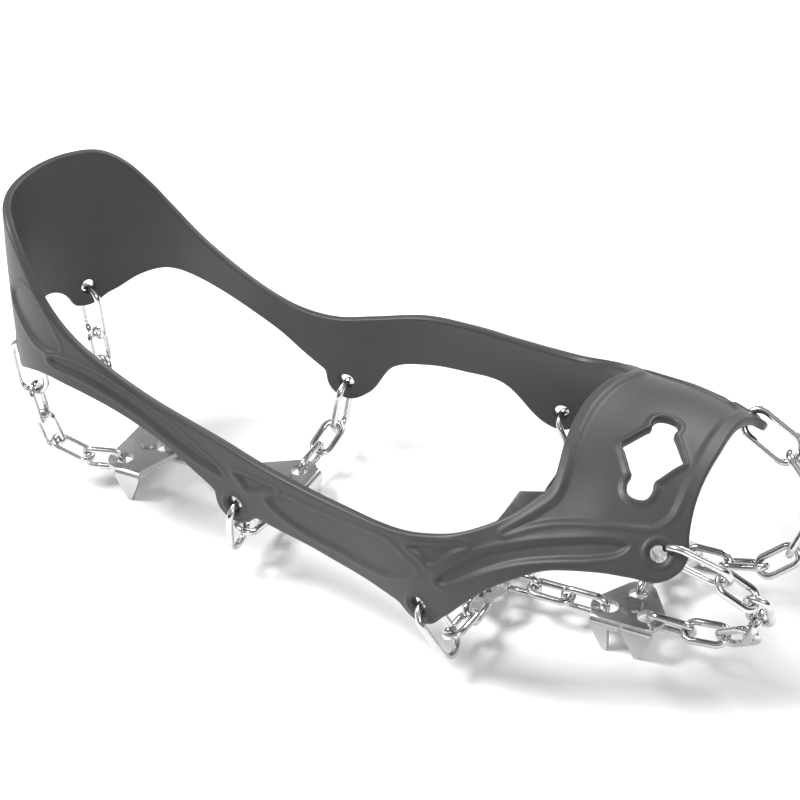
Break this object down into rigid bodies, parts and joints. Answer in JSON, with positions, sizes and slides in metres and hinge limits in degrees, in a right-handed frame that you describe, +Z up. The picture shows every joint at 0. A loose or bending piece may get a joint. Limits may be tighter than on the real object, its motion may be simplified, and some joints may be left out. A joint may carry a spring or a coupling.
{
  "type": "chain crampons",
  "caption": "Slip-on chain crampon: a stretchy rubber harness with a toe panel and a heel tab carries steel chains and toothed plates under a shoe.",
  "frame": {"origin": "middle of the footprint, on the ground under the teeth", "axes": "+X towards the toe, +Y to the left of the wearer, +Z up"},
  "size_m": [0.2882, 0.1262, 0.119],
  "materials": {
    "rubber": "matt",
    "steel": "polished",
    "plate_steel": "satin"
  },
  "bodies": {
    "harness": {"toe_panel": "rubber", "right_side_band": "rubber", "left_side_band": "rubber", "heel_cup": "rubber"},
    "right_toe_chain_link_1": {"right_toe_chain_link_1": "steel"},
    "right_toe_chain_link_2": {"right_toe_chain_link_2": "steel"},
    "right_toe_chain_link_3": {"right_toe_chain_link_3": "steel"},
    "right_toe_chain_link_4": {"right_toe_chain_link_4": "steel"},
    "right_toe_chain_link_5": {"right_toe_chain_link_5": "steel"},
    "right_toe_chain_link_6": {"right_toe_chain_link_6": "steel"},
    "right_toe_chain_link_7": {"right_toe_chain_link_7": "steel"},
    "right_ball_chain_link_1": {"right_ball_chain_link_1": "steel"},
    "right_ball_chain_link_2": {"right_ball_chain_link_2": "steel"},
    "right_ball_chain_link_3": {"right_ball_chain_link_3": "steel"},
    "right_forefoot_chain_link_1": {"right_forefoot_chain_link_1": "steel"},
    "right_forefoot_chain_link_2": {"right_forefoot_chain_link_2": "steel"},
    "right_forefoot_chain_link_3": {"right_forefoot_chain_link_3": "steel"},
    "right_arch_chain_link_1": {"right_arch_chain_link_1": "steel"},
    "right_arch_chain_link_2": {"right_arch_chain_link_2": "steel"},
    "right_arch_chain_link_3": {"right_arch_chain_link_3": "steel"},
    "right_heel_chain_link_1": {"right_heel_chain_link_1": "steel"},
    "right_heel_chain_link_2": {"right_heel_chain_link_2": "steel"},
    "right_heel_chain_link_3": {"right_heel_chain_link_3": "steel"},
    "right_heel_chain_link_4": {"right_heel_chain_link_4": "steel"},
    "right_heel_chain_link_5": {"right_heel_chain_link_5": "steel"},
    "left_toe_chain_link_1": {"left_toe_chain_link_1": "steel"},
    "left_toe_chain_link_2": {"left_toe_chain_link_2": "steel"},
    "left_toe_chain_link_3": {"left_toe_chain_link_3": "steel"},
    "left_toe_chain_link_4": {"left_toe_chain_link_4": "steel"},
    "left_toe_chain_link_5": {"left_toe_chain_link_5": "steel"},
    "left_toe_chain_link_6": {"left_toe_chain_link_6": "steel"},
    "left_toe_chain_link_7": {"left_toe_chain_link_7": "steel"},
    "left_ball_chain_link_1": {"left_ball_chain_link_1": "steel"},
    "left_ball_chain_link_2": {"left_ball_chain_link_2": "steel"},
    "left_ball_chain_link_3": {"left_ball_chain_link_3": "steel"},
    "left_forefoot_chain_link_1": {"left_forefoot_chain_link_1": "steel"},
    "left_forefoot_chain_link_2": {"left_forefoot_chain_link_2": "steel"},
    "left_forefoot_chain_link_3": {"left_forefoot_chain_link_3": "steel"},
    "left_arch_chain_link_1": {"left_arch_chain_link_1": "steel"},
    "left_arch_chain_link_2": {"left_arch_chain_link_2": "steel"},
    "left_arch_chain_link_3": {"left_arch_chain_link_3": "steel"},
    "left_heel_chain_link_1": {"left_heel_chain_link_1": "steel"},
    "left_heel_chain_link_2": {"left_heel_chain_link_2": "steel"},
    "left_heel_chain_link_3": {"left_heel_chain_link_3": "steel"},
    "left_heel_chain_link_4": {"left_heel_chain_link_4": "steel"},
    "left_heel_chain_link_5": {"left_heel_chain_link_5": "steel"},
    "toe_cross_link": {"toe_cross_link": "steel"},
    "ball_cross_link": {"ball_cross_link": "steel"},
    "heel_chain_link_1": {"heel_chain_link_1": "steel"},
    "heel_chain_link_2": {"heel_chain_link_2": "steel"},
    "heel_chain_link_3": {"heel_chain_link_3": "steel"},
    "right_toe_plate": {"right_toe_plate": "plate_steel"},
    "right_ball_plate": {"right_ball_plate": "plate_steel"},
    "left_toe_plate": {"left_toe_plate": "plate_steel"},
    "left_ball_plate": {"left_ball_plate": "plate_steel"},
    "front_heel_plate": {"front_heel_plate": "plate_steel"},
    "rear_heel_plate": {"rear_heel_plate": "plate_steel"}
  },
  "joints": [
    {"name": "right_toe_chain_link_1_roll", "type": "hinge", "parent": "harness", "child": "right_toe_chain_link_1", "pos_m": [0.12118, -0.03607, 0.0552], "axis": [0.891, 0.1752, -0.4188], "range_deg": [-7, 7]},
    {"name": "right_toe_chain_link_2_roll", "type": "hinge", "parent": "harness", "child": "right_toe_chain_link_2", "pos_m": [0.1332, -0.03245, 0.04655], "axis": [0.7193, 0.2681, -0.6408], "range_deg": [-10, 10]},
    {"name": "right_toe_chain_link_3_roll", "type": "hinge", "parent": "harness", "child": "right_toe_chain_link_3", "pos_m": [0.13921, -0.02873, 0.03764], "axis": [0.0349, 0.3857, -0.922], "range_deg": [-10, 10]},
    {"name": "right_toe_chain_link_4_roll", "type": "hinge", "parent": "harness", "child": "right_toe_chain_link_4", "pos_m": [0.13656, -0.02423, 0.02689], "axis": [-0.342, 0.3627, -0.8669], "range_deg": [-10, 10]},
    {"name": "right_toe_chain_link_5_roll", "type": "hinge", "parent": "harness", "child": "right_toe_chain_link_5", "pos_m": [0.13071, -0.02028, 0.01745], "axis": [-0.766, 0.2481, -0.593], "range_deg": [-10, 10]},
    {"name": "right_toe_chain_link_6_roll", "type": "hinge", "parent": "harness", "child": "right_toe_chain_link_6", "pos_m": [0.11967, -0.01864, 0.01354], "axis": [-0.9788, 0.079, -0.1889], "range_deg": [-10, 10]},
    {"name": "right_toe_chain_link_7_roll", "type": "hinge", "parent": "harness", "child": "right_toe_chain_link_7", "pos_m": [0.10769, -0.018, 0.012], "axis": [-1, 0, 0], "range_deg": [-10, 10]},
    {"name": "right_ball_chain_link_1_roll", "type": "hinge", "parent": "harness", "child": "right_ball_chain_link_1", "pos_m": [0.04271, -0.05586, 0.01862], "axis": [0.4574, 0.1392, -0.8783], "range_deg": [-7, 7]},
    {"name": "right_ball_chain_link_2_roll", "type": "hinge", "parent": "harness", "child": "right_ball_chain_link_2", "pos_m": [0.04574, -0.04526, 0.01281], "axis": [0.0517, 0.9937, -0.0993], "range_deg": [-10, 10]},
    {"name": "right_ball_chain_link_3_roll", "type": "hinge", "parent": "harness", "child": "right_ball_chain_link_3", "pos_m": [0.04616, -0.03316, 0.012], "axis": [0, 1, 0], "range_deg": [-10, 10]},
    {"name": "right_forefoot_chain_link_1_roll", "type": "hinge", "parent": "harness", "child": "right_forefoot_chain_link_1", "pos_m": [0.05361, -0.018, 0.012], "axis": [1, 0, 0], "range_deg": [-10, 10]},
    {"name": "right_forefoot_chain_link_2_roll", "type": "hinge", "parent": "harness", "child": "right_forefoot_chain_link_2", "pos_m": [0.06576, -0.018, 0.012], "axis": [1, 0, 0], "range_deg": [-10, 10]},
    {"name": "right_forefoot_chain_link_3_roll", "type": "hinge", "parent": "harness", "child": "right_forefoot_chain_link_3", "pos_m": [0.07791, -0.018, 0.012], "axis": [1, 0, 0], "range_deg": [-10, 10]},
    {"name": "right_arch_chain_link_1_roll", "type": "hinge", "parent": "harness", "child": "right_arch_chain_link_1", "pos_m": [-0.04218, -0.03795, 0.02174], "axis": [-0.1656, 0.1736, -0.9708], "range_deg": [-7, 7]},
    {"name": "right_arch_chain_link_2_roll", "type": "hinge", "parent": "harness", "child": "right_arch_chain_link_2", "pos_m": [-0.0435, -0.0274, 0.01399], "axis": [-0.0416, 0.9689, -0.2439], "range_deg": [-10, 10]},
    {"name": "right_arch_chain_link_3_roll", "type": "hinge", "parent": "harness", "child": "right_arch_chain_link_3", "pos_m": [-0.04384, -0.01551, 0.012], "axis": [0, 1, 0], "range_deg": [-10, 10]},
    {"name": "right_heel_chain_link_1_roll", "type": "hinge", "parent": "harness", "child": "right_heel_chain_link_1", "pos_m": [-0.13705, -0.01987, 0.05081], "axis": [0.0337, 0.009, -0.9994], "range_deg": [-7, 7]},
    {"name": "right_heel_chain_link_2_roll", "type": "hinge", "parent": "harness", "child": "right_heel_chain_link_2", "pos_m": [-0.13586, -0.01955, 0.03547], "axis": [0.101, 0.0271, -0.9945], "range_deg": [-10, 10]},
    {"name": "right_heel_chain_link_3_roll", "type": "hinge", "parent": "harness", "child": "right_heel_chain_link_3", "pos_m": [-0.13411, -0.01908, 0.02348], "axis": [0.2337, 0.0626, -0.9703], "range_deg": [-10, 10]},
    {"name": "right_heel_chain_link_4_roll", "type": "hinge", "parent": "harness", "child": "right_heel_chain_link_4", "pos_m": [-0.12621, -0.01697, 0.0158], "axis": [0.8546, 0.229, -0.4661], "range_deg": [-10, 10]},
    {"name": "right_heel_chain_link_5_roll", "type": "hinge", "parent": "harness", "child": "right_heel_chain_link_5", "pos_m": [-0.11538, -0.01406, 0.012], "axis": [0.9659, 0.2588, 0], "range_deg": [-10, 10]},
    {"name": "left_toe_chain_link_1_roll", "type": "hinge", "parent": "harness", "child": "left_toe_chain_link_1", "pos_m": [0.12118, 0.03607, 0.0552], "axis": [0.891, -0.1752, -0.4188], "range_deg": [-7, 7]},
    {"name": "left_toe_chain_link_2_roll", "type": "hinge", "parent": "harness", "child": "left_toe_chain_link_2", "pos_m": [0.1332, 0.03245, 0.04655], "axis": [0.7193, -0.2681, -0.6408], "range_deg": [-10, 10]},
    {"name": "left_toe_chain_link_3_roll", "type": "hinge", "parent": "harness", "child": "left_toe_chain_link_3", "pos_m": [0.13921, 0.02873, 0.03764], "axis": [0.0349, -0.3857, -0.922], "range_deg": [-10, 10]},
    {"name": "left_toe_chain_link_4_roll", "type": "hinge", "parent": "harness", "child": "left_toe_chain_link_4", "pos_m": [0.13656, 0.02423, 0.02689], "axis": [-0.342, -0.3627, -0.8669], "range_deg": [-10, 10]},
    {"name": "left_toe_chain_link_5_roll", "type": "hinge", "parent": "harness", "child": "left_toe_chain_link_5", "pos_m": [0.13071, 0.02028, 0.01745], "axis": [-0.766, -0.2481, -0.593], "range_deg": [-10, 10]},
    {"name": "left_toe_chain_link_6_roll", "type": "hinge", "parent": "harness", "child": "left_toe_chain_link_6", "pos_m": [0.11967, 0.01864, 0.01354], "axis": [-0.9788, -0.079, -0.1889], "range_deg": [-10, 10]},
    {"name": "left_toe_chain_link_7_roll", "type": "hinge", "parent": "harness", "child": "left_toe_chain_link_7", "pos_m": [0.10769, 0.018, 0.012], "axis": [-1, 0, 0], "range_deg": [-10, 10]},
    {"name": "left_ball_chain_link_1_roll", "type": "hinge", "parent": "harness", "child": "left_ball_chain_link_1", "pos_m": [0.04271, 0.05586, 0.01862], "axis": [0.4574, -0.1392, -0.8783], "range_deg": [-7, 7]},
    {"name": "left_ball_chain_link_2_roll", "type": "hinge", "parent": "harness", "child": "left_ball_chain_link_2", "pos_m": [0.04574, 0.04526, 0.01281], "axis": [0.0517, -0.9937, -0.0993], "range_deg": [-10, 10]},
    {"name": "left_ball_chain_link_3_roll", "type": "hinge", "parent": "harness", "child": "left_ball_chain_link_3", "pos_m": [0.04616, 0.03316, 0.012], "axis": [0, -1, 0], "range_deg": [-10, 10]},
    {"name": "left_forefoot_chain_link_1_roll", "type": "hinge", "parent": "harness", "child": "left_forefoot_chain_link_1", "pos_m": [0.05361, 0.018, 0.012], "axis": [1, 0, 0], "range_deg": [-10, 10]},
    {"name": "left_forefoot_chain_link_2_roll", "type": "hinge", "parent": "harness", "child": "left_forefoot_chain_link_2", "pos_m": [0.06576, 0.018, 0.012], "axis": [1, 0, 0], "range_deg": [-10, 10]},
    {"name": "left_forefoot_chain_link_3_roll", "type": "hinge", "parent": "harness", "child": "left_forefoot_chain_link_3", "pos_m": [0.07791, 0.018, 0.012], "axis": [1, 0, 0], "range_deg": [-10, 10]},
    {"name": "left_arch_chain_link_1_roll", "type": "hinge", "parent": "harness", "child": "left_arch_chain_link_1", "pos_m": [-0.04218, 0.03795, 0.02174], "axis": [-0.1656, -0.1736, -0.9708], "range_deg": [-7, 7]},
    {"name": "left_arch_chain_link_2_roll", "type": "hinge", "parent": "harness", "child": "left_arch_chain_link_2", "pos_m": [-0.0435, 0.0274, 0.01399], "axis": [-0.0416, -0.9689, -0.2439], "range_deg": [-10, 10]},
    {"name": "left_arch_chain_link_3_roll", "type": "hinge", "parent": "harness", "child": "left_arch_chain_link_3", "pos_m": [-0.04384, 0.01551, 0.012], "axis": [0, -1, 0], "range_deg": [-10, 10]},
    {"name": "left_heel_chain_link_1_roll", "type": "hinge", "parent": "harness", "child": "left_heel_chain_link_1", "pos_m": [-0.13705, 0.01987, 0.05081], "axis": [0.0337, -0.009, -0.9994], "range_deg": [-7, 7]},
    {"name": "left_heel_chain_link_2_roll", "type": "hinge", "parent": "harness", "child": "left_heel_chain_link_2", "pos_m": [-0.13586, 0.01955, 0.03547], "axis": [0.101, -0.0271, -0.9945], "range_deg": [-10, 10]},
    {"name": "left_heel_chain_link_3_roll", "type": "hinge", "parent": "harness", "child": "left_heel_chain_link_3", "pos_m": [-0.13411, 0.01908, 0.02348], "axis": [0.2337, -0.0626, -0.9703], "range_deg": [-10, 10]},
    {"name": "left_heel_chain_link_4_roll", "type": "hinge", "parent": "harness", "child": "left_heel_chain_link_4", "pos_m": [-0.12621, 0.01697, 0.0158], "axis": [0.8546, -0.229, -0.4661], "range_deg": [-10, 10]},
    {"name": "left_heel_chain_link_5_roll", "type": "hinge", "parent": "harness", "child": "left_heel_chain_link_5", "pos_m": [-0.11538, 0.01406, 0.012], "axis": [0.9659, -0.2588, 0], "range_deg": [-10, 10]},
    {"name": "toe_cross_link_roll", "type": "hinge", "parent": "harness", "child": "toe_cross_link", "pos_m": [0.0928, 0, 0.012], "axis": [0, 1, 0], "range_deg": [-10, 10]},
    {"name": "ball_cross_link_roll", "type": "hinge", "parent": "harness", "child": "ball_cross_link", "pos_m": [0.04016, 0, 0.012], "axis": [0, 1, 0], "range_deg": [-10, 10]},
    {"name": "heel_chain_link_1_roll", "type": "hinge", "parent": "harness", "child": "heel_chain_link_1", "pos_m": [-0.08876, 0, 0.012], "axis": [1, 0, 0], "range_deg": [-10, 10]},
    {"name": "heel_chain_link_2_roll", "type": "hinge", "parent": "harness", "child": "heel_chain_link_2", "pos_m": [-0.07662, 0, 0.012], "axis": [1, 0, 0], "range_deg": [-10, 10]},
    {"name": "heel_chain_link_3_roll", "type": "hinge", "parent": "harness", "child": "heel_chain_link_3", "pos_m": [-0.06446, 0, 0.012], "axis": [1, 0, 0], "range_deg": [-10, 10]},
    {"name": "right_toe_plate_rock", "type": "hinge", "parent": "harness", "child": "right_toe_plate", "pos_m": [0.0928, -0.018, 0.012], "axis": [1, 0, 0], "range_deg": [-3, 3]},
    {"name": "right_ball_plate_rock", "type": "hinge", "parent": "harness", "child": "right_ball_plate", "pos_m": [0.04316, -0.01658, 0.012], "axis": [-0.3462, 0.9382, 0], "range_deg": [-3, 3]},
    {"name": "left_toe_plate_rock", "type": "hinge", "parent": "harness", "child": "left_toe_plate", "pos_m": [0.0928, 0.018, 0.012], "axis": [1, 0, 0], "range_deg": [-3, 3]},
    {"name": "left_ball_plate_rock", "type": "hinge", "parent": "harness", "child": "left_ball_plate", "pos_m": [0.04316, 0.01658, 0.012], "axis": [-0.3462, -0.9382, 0], "range_deg": [-3, 3]},
    {"name": "front_heel_plate_rock", "type": "hinge", "parent": "harness", "child": "front_heel_plate", "pos_m": [-0.04384, 0, 0.012], "axis": [0, 1, 0], "range_deg": [-3, 3]},
    {"name": "rear_heel_plate_rock", "type": "hinge", "parent": "harness", "child": "rear_heel_plate", "pos_m": [-0.10722, 0, 0.012], "axis": [0, 1, 0], "range_deg": [-3, 3]}
  ]
}
